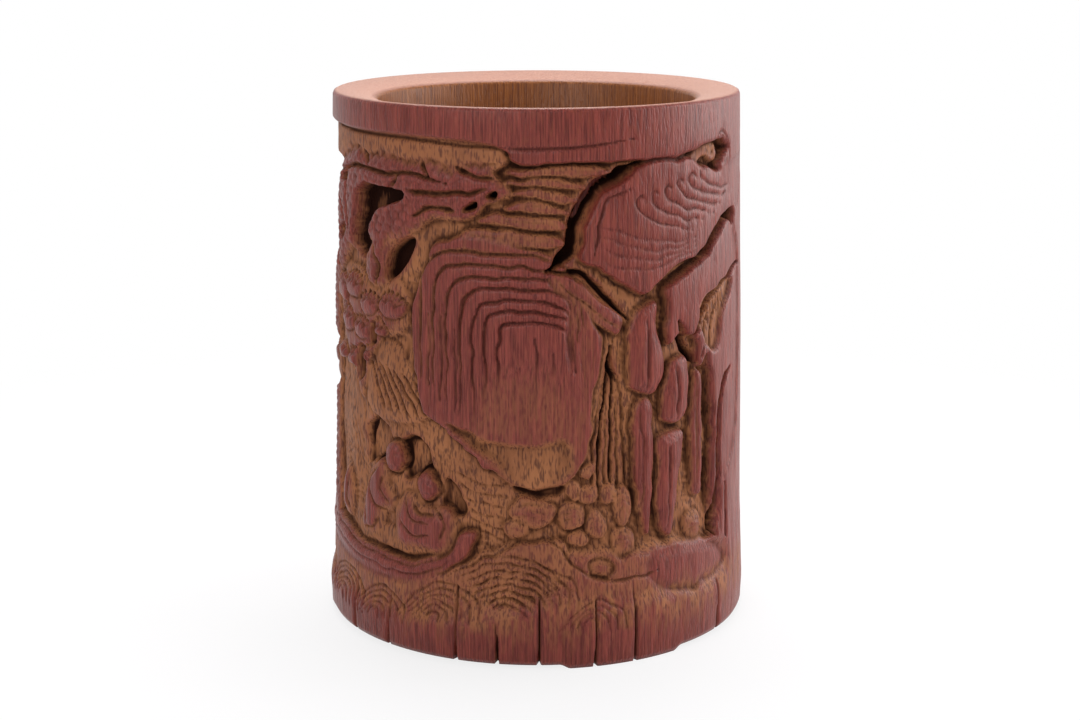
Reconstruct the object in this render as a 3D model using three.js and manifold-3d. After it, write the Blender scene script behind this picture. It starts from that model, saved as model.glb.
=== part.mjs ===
// A carved bamboo brush pot. One length of thick bamboo culm is the wall, carved outside in high relief
// with a river landscape, and a turned hardwood disc let into the foot is the floor.
// Units are millimetres, +Z is up and the origin is the centre of the ring that the pot stands on.
// The carving is laid out on a flat chart of the wall. A chart point is [degrees round the pot, height]:
// 0 degrees faces -Y, degrees count towards +X, and heights are those of a pot chartHeight tall.
// On this pot a degree is about a millimetre of the outside.
import * as THREE from "three";
import { TessellateModifier } from "three/addons/modifiers/TessellateModifier.js";
import { mergeVertices } from "three/addons/utils/BufferGeometryUtils.js";
import Module from "manifold-3d";

const wasm = await Module();
wasm.setup();

// The culm: its height, outside radii up the wall, and bore
const potHeight = 150;
const chartHeight = 150;
const mouthRadius = 56.9;
const bellyRadius = 58.8;
const bellyHeight = 80;
const ankleRadius = 59.6;
const ankleHeight = 34;
const footRadius = 60.7;
const footSwellHeight = 9;
const mouthBoreRadius = 44.5;
const footBoreRadius = 45.5;

// The rim slopes down to the bore and has a softened outer edge
const rimSlopeDrop = 2.2;
const rimEdgeRounding = 1;
const footEdgeRounding = 1.2;

// Three low feet are left where the foot ring is cut away between them
const footCount = 3;
const footSpan = 30;
const firstFootAngle = 24;
const footArchRise = 1.2;

// The floor disc sits in a rebate cut from below
const floorRecess = 3;
const floorThickness = 6;
const rebateLedge = 2.5;
const floorClearance = 0.3;
const floorEdgeChamfer = 0.6;

// Depths of the carving below the culm's skin
const groundDepth = 3.4;
const hollowDepth = 8;
const crackDepth = 5;
const foliageDepth = 1.3;
const barkDepth = 0.9;
const faceDepth = 1.7;
const ledgeDepth = 1.1;
const ledgeRise = 0.35;
const shelfDepth = 2.1;
const pillarDepth = 0.8;
const hullDepth = 0.7;
const robeDepth = 1.6;
const bankDepth = 1.3;
const splitDepth = 3;
const splitWidth = 0.7;

// How round things are faceted
const latheSegments = 60;
const longestEdge = 16;
const rootOverlap = 1.5;
const cutOvershoot = 3;

// Outside radius of the uncarved skin at a height.
function skinRadius(height) {
  const stations = [
    [0, footRadius - footEdgeRounding / 2],
    [footSwellHeight, footRadius],
    [ankleHeight, ankleRadius],
    [bellyHeight, bellyRadius],
    [potHeight, mouthRadius],
  ];
  for (let i = 1; i < stations.length; i++) {
    const [z0, r0] = stations[i - 1];
    const [z1, r1] = stations[i];
    if (height <= z1) return r0 + ((r1 - r0) * Math.max(0, height - z0)) / (z1 - z0);
  }
  return mouthRadius;
}

const chartToHeight = (y) => (y * potHeight) / chartHeight;

// A three.js geometry as a manifold-3d solid, with its shared vertices merged.
function solid(geometry) {
  const bare = geometry.index ? geometry.toNonIndexed() : geometry.clone();
  for (const name of Object.keys(bare.attributes)) {
    if (name !== "position") bare.deleteAttribute(name);
  }
  const merged = mergeVertices(bare, 1e-4);
  return new wasm.Manifold(
    new wasm.Mesh({
      numProp: 3,
      vertProperties: new Float32Array(merged.attributes.position.array),
      triVerts: new Uint32Array(merged.index.array),
    }),
  );
}

function geometryOf(manifold) {
  const mesh = manifold.getMesh();
  return new THREE.BufferGeometry()
    .setAttribute("position", new THREE.BufferAttribute(new Float32Array(mesh.vertProperties), 3))
    .setIndex(new THREE.BufferAttribute(new Uint32Array(mesh.triVerts), 1));
}

// A closed ring or disc turned about +Z from [radius, height] points that run anticlockwise.
function turned(profile) {
  const points = profile.map(([r, z]) => new THREE.Vector2(r, z));
  return new THREE.LatheGeometry(points, latheSegments).rotateX(Math.PI / 2);
}

// A smooth closed outline through a few chart points.
function smoothOutline(points, samplesPerPoint = 1) {
  const corners = points.map(([x, y]) => new THREE.Vector3(x, y, 0));
  const curve = new THREE.CatmullRomCurve3(corners, true, "centripetal");
  const count = points.length * samplesPerPoint;
  return Array.from({ length: count }, (_, i) => {
    const p = curve.getPoint(i / count);
    return [p.x, p.y];
  });
}

// The outline of a cut that follows a path of chart points and tapers to its ends.
function taperedStroke(path, width, endWidth = 0.3) {
  const curve = new THREE.CatmullRomCurve3(path.map(([x, y]) => new THREE.Vector3(x, y, 0)));
  const steps = path.length * 2;
  const sides = [[], []];
  for (let i = 0; i <= steps; i++) {
    const p = curve.getPoint(i / steps);
    const t = curve.getTangent(i / steps);
    const half = Math.max(endWidth, width * Math.sin((Math.PI * i) / steps) ** 0.5) / 2;
    sides[0].push([p.x - t.y * half, p.y + t.x * half]);
    sides[1].unshift([p.x + t.y * half, p.y - t.x * half]);
  }
  return sides.flat();
}

// A flat outline of the chart wrapped round the pot as a slab between two depths below the skin.
function wrappedSlab(outline, topDepth, bottomDepth) {
  const shape = new THREE.Shape(outline.map(([x, y]) => new THREE.Vector2(x, y)));
  const flat = new THREE.ExtrudeGeometry(shape, { depth: 1, bevelEnabled: false });
  const fine = new TessellateModifier(longestEdge, 10).modify(flat);
  const position = fine.attributes.position;
  for (let i = 0; i < position.count; i++) {
    const angle = THREE.MathUtils.degToRad(position.getX(i));
    const height = chartToHeight(position.getY(i));
    const depth = position.getZ(i) > 0.5 ? topDepth : bottomDepth;
    const radius = skinRadius(height) - depth;
    position.setXYZ(i, radius * Math.sin(angle), -radius * Math.cos(angle), height);
  }
  return solid(fine);
}

// A motif that stands on the ground of the carving, and a cut that goes below it.
const raised = (outline, depth) => wrappedSlab(outline, depth, groundDepth + rootOverlap);
const hollow = (outline, depth) => wrappedSlab(outline, -cutOvershoot, depth);

// A boulder or head: an egg half sunk in the wall.
function egg([x, y], [halfWidth, halfHeight], depth, thickness) {
  const height = chartToHeight(y);
  const radius = skinRadius(height) - depth - thickness;
  const egg = new THREE.SphereGeometry(1, 12, 8).scale(halfWidth, thickness, halfHeight);
  egg.translate(0, -radius, height);
  return solid(egg.rotateZ(THREE.MathUtils.degToRad(x)));
}

// The carved field runs all round except for one smooth slab, from its right edge to its left edge.
const smoothSlabLeft = 61;
const smoothSlabRight = 106;
const fieldOutline = [
  [smoothSlabRight, 20], [smoothSlabRight + 2, 60], [smoothSlabRight, 100], [smoothSlabRight + 2, 128],
  [115, 137], [140, 141], [170, 140], [200, 139], [240, 141], [280, 142], [300, 142], [330, 141],
  [345, 139.5], [352, 138.8], [356, 135.6], [380, 135.4], [404, 136], [414, 138], [424, 138.4],
  [425, 133], [415, 131], [427, 124], [431, 119], [428, 110], [418, 100], [423, 74],
  [420, 62], [419, 45], [419, 29], [412, 29], [396, 30], [384, 24], [372, 27], [362, 31],
  [350, 27], [338, 22], [322, 19.5], [300, 20.5], [280, 21], [255, 22], [228, 19], [200, 22],
  [170, 20], [140, 22],
];

// The pine: its crown and boughs, the hollows pierced behind them, and its clumps of needles
const pineCrown = [
  [-80, 120], [-76, 130], [-70, 134.5], [-60, 137.2], [-54, 135.4], [-46, 136.8], [-38, 135.6],
  [-30, 136], [-23, 134.6], [-15, 136], [-10, 132.5], [-7, 127], [-14, 125], [-18, 120.5],
  [-25, 120.5], [-31, 119.5], [-37, 115], [-44, 112.5], [-46.5, 106], [-47, 100.5], [-52, 100],
  [-56, 105], [-53.5, 112], [-58, 110], [-66, 108], [-72, 100], [-78, 104],
];
const pineHollows = [
  [[-50, 120.5], [-43, 123.4], [-38.6, 125], [-41, 126.8], [-52, 127.4], [-60, 125], [-62, 117],
    [-64, 110.5], [-57, 107.5], [-54, 114]],
  [[-46.4, 103], [-45.5, 109], [-41, 112.6], [-36, 114], [-38, 109], [-43, 104.5]],
  [[-73, 127], [-70, 130], [-66.5, 130.2], [-69, 127.4]],
  [[-76, 112], [-71, 115], [-68, 113], [-72, 110]],
];
const needleClumps = [
  [[-76, 99], [-70, 103.5], [-60, 104.5], [-50, 100.5], [-42, 103.5], [-37.5, 98], [-39, 90],
    [-46, 86], [-47, 80], [-53, 77], [-58, 68], [-61, 72], [-66, 78], [-72, 84], [-75, 92]],
  [[-110, 118], [-102, 128], [-92, 129], [-85, 122], [-88, 112], [-98, 108], [-106, 110]],
  [[-132, 92], [-124, 101], [-113, 100], [-106, 92], [-110, 82], [-122, 80]],
  [[-105, 72], [-100, 81], [-90, 82], [-84, 75], [-88, 66], [-98, 63]],
];
const pineTrunk = [
  [-96, 26], [-93, 45], [-95, 66], [-92, 88], [-84, 104], [-76, 112], [-70, 106], [-79, 96],
  [-85, 80], [-86, 60], [-82, 42], [-78, 27],
];

// Cliffs, each a tall face with ledges nested inside it: left, right, foot and top of each ledge
const cliffs = [
  {
    face: [[-31, 108], [-28, 114], [-18, 116], [-6, 114.4], [4, 112], [3, 107.5], [9, 105], [14, 97],
      [19, 87], [16, 76], [14, 60], [8, 51], [0, 49], [-8, 51], [-14, 59], [-24, 67.5], [-30, 72],
      [-35.5, 82], [-36, 98]],
    ledges: [[-29, 10, 69, 112], [-24, 9.5, 67, 106.5], [-18.5, 9, 63, 103.5], [-12.5, 8.5, 60, 98.5]],
  },
  {
    face: [[112, 40], [111, 70], [114, 100], [121, 117], [132, 121], [142, 114], [147, 96],
      [148, 70], [144, 48], [130, 36]],
    ledges: [[116, 144, 46, 108], [119.5, 141, 50, 101], [123, 138, 54, 94]],
  },
  {
    face: [[172, 36], [170, 62], [174, 84], [184, 94], [197, 92], [205, 80], [208, 58], [203, 38],
      [188, 32]],
    ledges: [[176, 202, 42, 83], [180, 198, 46, 76]],
  },
];

// Flat-bedded rock above the main cliff, as shelves: left end, right end, lower and upper edge
const shelves = [
  [-13, 6.5, 109.4, 113.2], [-20, 8, 114.8, 119], [-14, 9, 120, 124.2], [-6, 11, 125, 128.8],
  [-3, 15, 129.6, 134.4],
];

// The crag under the rim, the gully beside it and the fall that runs out of the gully
const uppercrag = [
  [28, 135], [22, 131.5], [17, 128], [14, 122], [12.5, 115], [12, 111], [20, 106.6], [29, 100.6],
  [38, 105.6], [50, 110], [58, 115.5], [66, 118.6], [72, 119], [80, 124], [84, 136], [66, 137],
  [60, 132], [50, 132], [44, 135.4],
];
const gully = [[27, 134.4], [20, 131], [14.5, 126.5], [11, 120], [9.5, 113], [7, 109.5], [3, 108]];
const gullyWidth = 3.2;
const fallSlots = [
  [[20, 86], [17, 78], [15.6, 66], [15, 54]],
  [[20.5, 80], [19.6, 70], [19.2, 60], [18.6, 52]],
];
const fallSlotWidth = 2.2;

// Upright rocks right of the fall, and the cliff beyond them with the clefts that split it
const pillars = [
  [[26, 76], [32, 73], [36, 77], [36.4, 83], [34.4, 90], [34, 98], [28, 96], [25.4, 86]],
  [[26.6, 62], [28, 71], [32, 72], [33.2, 66], [33, 48], [31.5, 35], [29.4, 40], [27, 52]],
  [[34.6, 52], [35, 61], [42, 62], [44, 59], [42, 46], [40.4, 35], [37.6, 33], [34.6, 38]],
  [[36, 67], [40, 64], [44.6, 66], [46.4, 74], [45, 82], [38, 79.5]],
  [[47.5, 50], [48, 74], [51.5, 76], [52, 60], [51.6, 44], [48.6, 42]],
  [[152, 44], [152, 66], [156, 74], [160, 68], [160, 48], [156, 38]],
  [[162, 40], [163, 56], [167, 60], [169, 52], [168, 38]],
];
const rightCliff = [
  [37, 97], [38, 102], [50, 107], [58, 112], [66, 116], [72, 112], [76, 100], [74, 60], [62, 42],
  [60, 29], [56, 45], [57, 60], [54.6, 80], [50, 78], [49, 86], [42, 88], [38, 86],
];
const clefts = [
  { path: [[48, 87], [54, 94], [62, 99], [74, 103]], width: 2.6 },
  { path: [[53, 81], [53.2, 70], [53, 58]], width: 2 },
  { path: [[67, 74], [62, 70.5], [60.2, 62], [59.6, 45], [58, 29]], width: 3 },
  { path: [[63.6, 43], [63.8, 34], [63.4, 26]], width: 1.6 },
];

// The boat under the bank, with two seated figures, each a robe and a head
const boatHull = [
  [-92, 36], [-80, 32.4], [-66, 29.8], [-50, 27.4], [-34, 26.8], [-26, 29], [-19, 35], [-16.6, 36],
  [-18, 31.6], [-24, 26], [-34, 21.6], [-46, 19.6], [-62, 20.6], [-80, 22.4], [-91, 28],
];
const robes = [
  [[-57.6, 30.6], [-57.6, 38], [-55.4, 46.6], [-50, 52.6], [-46.6, 51], [-44.4, 46], [-41.6, 40],
    [-46.6, 37.6], [-48.8, 31]],
  [[-42, 31], [-41.8, 40], [-38.4, 45], [-33, 42], [-28, 42], [-24.4, 43], [-21.6, 38], [-24.4, 29.4],
    [-34, 28.8]],
  [[-72, 31], [-73.4, 40], [-69.6, 46], [-65, 44], [-64.8, 36], [-67, 31.4]],
];
const heads = [
  { at: [-43, 54.2], size: [4.2, 4.7] },
  { at: [-31, 48], size: [3.7, 4.2] },
];
const headDepth = 0.8;
const headThickness = 3.4;
const figureShadows = [
  [[-56.6, 50], [-54, 62.4], [-47.4, 61.6], [-47.8, 56], [-52, 52.6]],
  [[-39, 49], [-37, 58.6], [-33.4, 59.4], [-31.6, 54], [-35.6, 50]],
  [[-26.6, 44], [-25, 51], [-19, 47.4], [-17, 40], [-21, 39], [-22, 44]],
];

// Boulders along the water: place, half width and half height
const boulders = [
  [[-1, 43], [6, 4.6]], [[-5.6, 38.4], [4, 2.8]], [[9.6, 41.6], [4, 4]], [[6, 32.6], [3.2, 2.8]],
  [[18, 27.6], [4.6, 3.4]], [[14, 47.6], [3, 3]], [[20, 48], [3, 3.2]], [[13.8, 54.2], [1.7, 1.9]],
  [[24, 44], [2.6, 6]], [[49.6, 34], [4.6, 4]], [[122, 30], [8, 6]], [[136, 28], [7, 5]],
  [[152, 30], [8, 6]], [[168, 27], [8, 5]], [[186, 26], [9, 5]], [[206, 30], [9, 6]],
  [[220, 40], [7, 8]], [[232, 28], [8, 6]], [[218, 56], [6, 6]],
];
const boulderDepth = 1.2;
const boulderThickness = 3;
const bankMound = [
  [31, 22], [32, 29.6], [40, 30], [50, 29.6], [57, 27.4], [63, 22], [60, 18], [44, 16],
];

// Drying splits in the foot: degrees, and the height each has opened to
const splits = [
  [-57.5, 19], [-42.6, 18.5], [-21.3, 22.5], [0.7, 20], [15.5, 19], [26.5, 23], [57.4, 19],
  [98, 15], [139, 20], [171, 17], [212, 21], [251, 16],
];

// The culm as it is turned, before any carving.
function culmBlank() {
  const rebateRadius = footBoreRadius + rebateLedge;
  const rebateTop = floorRecess + floorThickness + floorClearance;
  return solid(
    turned([
      [rebateRadius, 0],
      [footRadius - footEdgeRounding, 0],
      [footRadius - footEdgeRounding / 4, footEdgeRounding * 1.2],
      [footRadius, footSwellHeight],
      [skinRadius((footSwellHeight + ankleHeight) / 2), (footSwellHeight + ankleHeight) / 2],
      [ankleRadius, ankleHeight],
      [bellyRadius, bellyHeight],
      [mouthRadius, potHeight - rimEdgeRounding * 1.4],
      [mouthRadius - rimEdgeRounding * 0.3, potHeight - rimEdgeRounding * 0.4],
      [mouthRadius - rimEdgeRounding, potHeight],
      [mouthBoreRadius + rimEdgeRounding, potHeight - rimSlopeDrop],
      [mouthBoreRadius, potHeight - rimSlopeDrop - rimEdgeRounding],
      [footBoreRadius, rebateTop],
      [rebateRadius, rebateTop],
      [rebateRadius, 0],
    ]),
  );
}

// The ledges of a cliff, each higher than the one that it stands in.
function cliffLedges(ledges) {
  return ledges.map(([left, right, foot, top], i) => {
    const round = Math.min(5, (right - left) / 3);
    const outline = [
      [left, foot], [left, top - round], [left + round * 0.3, top - round * 0.3],
      [left + round, top], [right - round, top], [right - round * 0.3, top - round * 0.3],
      [right, top - round], [right, foot],
    ];
    return raised(outline, ledgeDepth - i * ledgeRise * 0.8);
  });
}

function shelfOutline([left, right, low, high]) {
  const middle = (low + high) / 2;
  return [
    [left, middle], [left + 2, high], [right - 2, high - 0.6], [right, middle - 0.8],
    [right - 2, low], [left + 2, low + 0.4],
  ];
}

const between = (start, end, share) => start + (end - start) * share;

// The gaps cut under the foot ring, one between each pair of feet.
function footArches() {
  const pitch = 360 / footCount;
  const ramp = 3;
  return Array.from({ length: footCount }, (_, i) => {
    const start = firstFootAngle + i * pitch + footSpan / 2;
    const end = firstFootAngle + (i + 1) * pitch - footSpan / 2;
    const lowered = -rootOverlap;
    const points = [[start, lowered], [end, lowered]];
    for (let step = 0; step <= 12; step++) {
      const angle = between(end, start, step / 12);
      const rise = Math.min(1, Math.min(angle - start, end - angle) / ramp);
      points.push([angle, (footArchRise * Math.max(rise, 0.02) * chartHeight) / potHeight]);
    }
    const wallAtFoot = footRadius - footBoreRadius + cutOvershoot;
    return wrappedSlab(points, -cutOvershoot, wallAtFoot);
  });
}

// Narrow wedges for the splits that run up from the foot.
function footSplits() {
  return splits.map(([angle, top]) =>
    hollow(
      [[angle - splitWidth / 2, -rootOverlap], [angle + splitWidth / 2, -rootOverlap],
        [angle + splitWidth / 2, top * 0.7], [angle, top], [angle - splitWidth / 2, top * 0.7]],
      splitDepth,
    ),
  );
}

function carvedWall() {
  const union = (solids) => solids.reduce((a, b) => a.add(b));
  const carvedGround = culmBlank().subtract(hollow(fieldOutline, groundDepth));
  const motifs = [
    raised(smoothOutline(pineCrown), barkDepth),
    raised(smoothOutline(pineTrunk), barkDepth),
    ...needleClumps.map((clump) => raised(smoothOutline(clump), foliageDepth)),
    ...cliffs.map((cliff) => raised(smoothOutline(cliff.face), faceDepth)),
    ...cliffs.flatMap((cliff) => cliffLedges(cliff.ledges)),
    ...shelves.map((shelf) => raised(shelfOutline(shelf), shelfDepth)),
    raised(smoothOutline(uppercrag), ledgeDepth),
    ...pillars.map((pillar) => raised(smoothOutline(pillar), pillarDepth)),
    raised(smoothOutline(rightCliff), pillarDepth),
    raised(smoothOutline(bankMound), bankDepth),
    raised(smoothOutline(boatHull), hullDepth),
    ...robes.map((robe) => raised(smoothOutline(robe), robeDepth)),
    ...boulders.map(([at, size]) => egg(at, size, boulderDepth, boulderThickness)),
  ];
  const cuts = [
    ...pineHollows.map((outline) => hollow(smoothOutline(outline), hollowDepth)),
    ...figureShadows.map((outline) => hollow(smoothOutline(outline), hollowDepth)),
    hollow(taperedStroke(gully, gullyWidth), hollowDepth),
    ...fallSlots.map((path) => hollow(taperedStroke(path, fallSlotWidth), crackDepth)),
    ...clefts.map(({ path, width }) => hollow(taperedStroke(path, width), crackDepth)),
    ...footSplits(),
    ...footArches(),
  ];
  const headEggs = heads.map(({ at, size }) => egg(at, size, headDepth, headThickness));
  const wall = carvedGround.add(union(motifs)).subtract(union(cuts));
  return wall.add(union(headEggs));
}

function floorDisc() {
  const radius = footBoreRadius + rebateLedge - floorClearance;
  const top = floorRecess + floorThickness;
  return turned([
    [0, floorRecess],
    [radius - floorEdgeChamfer, floorRecess],
    [radius, floorRecess + floorEdgeChamfer],
    [radius, top - floorEdgeChamfer],
    [radius - floorEdgeChamfer, top],
    [0, top],
  ]);
}

const bambooSkin = new THREE.MeshStandardMaterial({ color: 0x7c4238, roughness: 0.45, metalness: 0 });
const hardwood = new THREE.MeshStandardMaterial({ color: 0x4f2a1d, roughness: 0.5, metalness: 0 });

const wallMesh = new THREE.Mesh(geometryOf(carvedWall()), bambooSkin);
wallMesh.name = "carved_culm_wall";

const floorMesh = new THREE.Mesh(floorDisc(), hardwood);
floorMesh.name = "floor_disc";

const brushPot = new THREE.Group();
brushPot.add(wallMesh, floorMesh);

export default brushPot;
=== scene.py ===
"""A carved bamboo brush pot: a thick culm with a river landscape in relief and a wooden floor."""
import math

import bmesh
import bpy
import numpy as np
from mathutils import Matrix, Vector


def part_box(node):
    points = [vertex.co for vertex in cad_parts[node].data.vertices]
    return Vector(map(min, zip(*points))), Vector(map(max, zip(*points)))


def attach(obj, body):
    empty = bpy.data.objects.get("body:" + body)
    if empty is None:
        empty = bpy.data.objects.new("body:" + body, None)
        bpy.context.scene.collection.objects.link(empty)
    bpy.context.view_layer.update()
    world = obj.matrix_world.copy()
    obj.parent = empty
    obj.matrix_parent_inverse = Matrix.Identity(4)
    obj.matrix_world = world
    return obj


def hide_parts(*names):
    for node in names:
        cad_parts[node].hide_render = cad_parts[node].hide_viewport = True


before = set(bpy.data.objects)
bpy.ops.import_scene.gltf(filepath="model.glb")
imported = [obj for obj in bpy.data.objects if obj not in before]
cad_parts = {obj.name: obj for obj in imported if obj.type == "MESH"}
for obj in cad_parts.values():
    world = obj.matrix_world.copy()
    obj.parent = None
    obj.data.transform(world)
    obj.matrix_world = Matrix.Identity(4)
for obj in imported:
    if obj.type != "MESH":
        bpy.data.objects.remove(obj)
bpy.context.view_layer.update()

# Camera
# The photograph looks at the pot from its front, a little from above, through a short telephoto
# lens. The pot's axis lands slightly left of the middle, which the small shift allows for.
MM = 0.001
camera_distance = 551.25 * MM
camera_height = 201.24 * MM
camera_pitch = math.radians(13.264)
camera_data = bpy.data.cameras.new("camera")
camera_data.sensor_width = 36
camera_data.lens = 65.09
camera_data.shift_x = 0.0034
camera_data.clip_start = 0.01
camera = bpy.data.objects.new("camera", camera_data)
camera.location = (0, -camera_distance, camera_height)
camera.rotation_euler = (math.radians(90) - camera_pitch, 0, 0)
bpy.context.collection.objects.link(camera)
bpy.context.scene.camera = camera
bpy.context.scene.view_settings.view_transform = "Standard"

# The culm's wall
# One length of thick bamboo, turned true, hollow, with a sloped rim and three low feet. Its
# outside is carved by hand, so the wall is laid out on a flat chart of degrees and millimetres.
node_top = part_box("carved_culm_wall")[1]
pot_height = node_top[2] / MM
foot_radius = node_top[0] / MM
skin_stations = [(0, foot_radius - 0.9), (1.5, foot_radius - 0.25), (9, foot_radius), (34, 59.6),
                 (80, 58.8), (150, 56.9)]
mouth_bore = 44.5
foot_bore = 45.5
rim_slope = 2.2
rim_rounding = 1.0
rebate_radius = 48.0
rebate_top = 9.3
foot_arch_rise = 1.2
foot_span = 30
first_foot = 24
chart_start = -100.0
chart_step = 0.4
chart_columns = 900
chart_rows = 376
angles = chart_start + chart_step * np.arange(chart_columns)
heights = chart_step * np.arange(chart_rows)
column_angle, row_height = np.meshgrid(angles, heights)
depth = np.zeros((chart_rows, chart_columns))
fresh_cut = np.zeros((chart_rows, chart_columns))
random = np.random.default_rng(7)


def skin_radius(z):
    """Radius of the uncut skin at a height."""
    stations = np.array(skin_stations)
    return np.interp(z, stations[:, 0], stations[:, 1])


def smooth_line(points, closed=False, samples=4):
    """Points along a Catmull-Rom curve through a few chart points."""
    points = np.array(points, float)
    if closed:
        padded = np.vstack([points[-1], points, points[0], points[1]])
    else:
        padded = np.vstack([2 * points[0] - points[1], points, 2 * points[-1] - points[-2]])
    line = []
    for p0, p1, p2, p3 in zip(padded, padded[1:], padded[2:], padded[3:]):
        for t in np.linspace(0, 1, samples, endpoint=False):
            line.append(0.5 * (2 * p1 + (p2 - p0) * t + (2 * p0 - 5 * p1 + 4 * p2 - p3) * t**2
                               + (3 * p1 - p0 - 3 * p2 + p3) * t**3))
    if not closed:
        line.append(points[-1])
    return np.array(line)


def chart_window(line, margin):
    """The part of the chart that a line and its margin cover."""
    low, high = line.min(0) - margin, line.max(0) + margin
    first = max(0, int((low[0] - chart_start) / chart_step))
    last = min(chart_columns, int((high[0] - chart_start) / chart_step) + 2)
    bottom, top = max(0, int(low[1] / chart_step)), min(chart_rows, int(high[1] / chart_step) + 2)
    return slice(bottom, top), slice(first, last)


def distance_to(line, window, closed=False):
    """Distance from each chart point to a line, how far along it lies, and whether it is inside."""
    x, y = column_angle[window], row_height[window]
    nearest = np.full(x.shape, 1e9)
    along = np.zeros(x.shape)
    inside = np.zeros(x.shape, bool)
    ends = np.roll(line, -1, 0) if closed else line[1:]
    for i, ((x0, y0), (x1, y1)) in enumerate(zip(line, ends)):
        dx, dy = x1 - x0, y1 - y0
        t = np.clip(((x - x0) * dx + (y - y0) * dy) / (dx * dx + dy * dy + 1e-9), 0, 1)
        d = np.hypot(x - x0 - t * dx, y - y0 - t * dy)
        closer = d < nearest
        nearest[closer] = d[closer]
        along[closer] = (i + t[closer]) / len(ends)
        if closed and y0 != y1:
            inside ^= ((y0 > y) != (y1 > y)) & (x < x0 + (y - y0) * dx / dy)
    return nearest, along, inside


def eased(value):
    """A value from 0 to 1 with soft ends."""
    value = np.clip(value, 0, 1)
    return value * value * (3 - 2 * value)


def area(points, edge=0.9):
    """A window of the chart, how much of it an outline covers, and how far in each point lies."""
    line = smooth_line(points, closed=True)
    window = chart_window(line, edge)
    nearest, _, inside = distance_to(line, window, closed=True)
    cover = eased(0.5 + np.where(inside, nearest, -nearest) / edge)
    return window, cover, np.where(inside, nearest, 0)


def level(points, to, edge=0.9, crown=0.0, fresh=0.0):
    """Brings the wood inside an outline to a depth, crowned a little, with its skin cut off."""
    window, cover, inward = area(points, edge)
    crown_run = 4.0
    rounded = to + crown * (1 - eased(inward / crown_run))
    depth[window] = depth[window] * (1 - cover) + rounded * cover
    fresh_cut[window] = fresh_cut[window] * (1 - cover) + fresh * cover


def cut(points, width, deep, samples=4):
    """A gouge cut along a line, tapering at both ends."""
    line = smooth_line(points, samples=samples)
    window = chart_window(line, width)
    nearest, along, _ = distance_to(line, window)
    half = width / 2 * np.clip(np.sin(np.pi * np.clip(along, 0.02, 0.98)) * 2.2, 0.25, 1)
    depth[window] += deep * np.clip(1 - (nearest / half) ** 2, 0, 1)


def boulder(x, y, half_width, half_height, top, proud, rim=0.9):
    """A rounded stone, bud or head that stands out of the ground."""
    corners = np.array([[x - half_width, y - half_height], [x + half_width, y + half_height]])
    window = chart_window(corners, margin=1.6)
    spread = np.hypot((column_angle[window] - x) / half_width,
                      (row_height[window] - y) / half_height)
    dome = top + proud * (1 - np.sqrt(np.clip(1 - spread**2, 0, 1)))
    here = depth[window]
    depth[window] = np.where(spread < 1, np.minimum(here, dome), here)
    depth[window] += rim * np.clip(1 - ((spread - 1.06) / 0.12) ** 2, 0, 1)


def between(chart, column, row, soft=False):
    """The value of a chart between its points, running on where its two ends meet."""
    c0, r0 = np.floor(column).astype(int), np.floor(row).astype(int)
    fc, fr = column - c0, row - r0
    if soft:
        fc, fr = eased(fc), eased(fr)
    c0, c1 = c0 % chart.shape[1], (c0 + 1) % chart.shape[1]
    return ((chart[r0, c0] * (1 - fc) + chart[r0, c1] * fc) * (1 - fr)
            + (chart[r0 + 1, c0] * (1 - fc) + chart[r0 + 1, c1] * fc) * fr)


def unevenness(across, up):
    """Soft random height between -1 and 1, in patches of a given size."""
    columns, rows = int(360 / across), int(150 / up) + 2
    knots = random.uniform(-1, 1, (rows, columns))
    column = (column_angle - chart_start) / 360 * columns
    return between(knots, column, row_height / up, soft=True)


# Ground of the carving
# The carver first sinks the whole field between the rim band and the foot band, and leaves one
# smooth slab of skin at the right. The sunk ground keeps the marks of a flat gouge.
ground_depth = 3.4
field = [(106, 20), (108, 60), (106, 100), (108, 128), (115, 137), (140, 141), (170, 140),
         (200, 139), (240, 141), (258, 142), (280, 142), (280, 21), (258, 21), (228, 19), (200, 22),
         (170, 20), (140, 22)]
field_front = [(-122, 142), (-102, 142), (-80, 142), (-60, 141.4), (-32, 141), (-15, 139.5),
               (-8, 138.8), (-4, 135.6), (20, 135.4), (44, 136), (54, 138), (62, 138.6), (66, 136),
               (60, 132), (68, 124), (71, 119), (68, 110), (58, 100), (63, 74), (60, 62), (59, 45),
               (58, 30), (50, 29), (36, 30), (24, 24), (12, 26), (5, 31), (-10, 26), (-22, 21),
               (-38, 18.5), (-60, 19.6), (-80, 20.4), (-102, 21), (-122, 21)]
level(field, ground_depth, edge=1.4)
level(field_front, ground_depth, edge=1.2)
sunk = eased(depth / ground_depth)
ground_waviness = 0.45
gouge_ripple = 0.16
depth += sunk * (ground_waviness * unevenness(7, 9) + gouge_ripple * unevenness(1.1, 6))
gouge_spacing, gouge_bite = 1.9, 0.55
gouge_slant, gouge_flatness = 0.55, 0.6
broad_bend, small_bend = 9, 3
bend = broad_bend * unevenness(22, 26) + small_bend * unevenness(8, 8)
gouge_phase = (gouge_slant * column_angle + row_height + bend) / gouge_spacing
scallop = np.abs(np.sin(math.pi * gouge_phase)) ** gouge_flatness
depth += sunk * gouge_bite * scallop * (0.6 + 0.4 * unevenness(5, 5))

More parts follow.
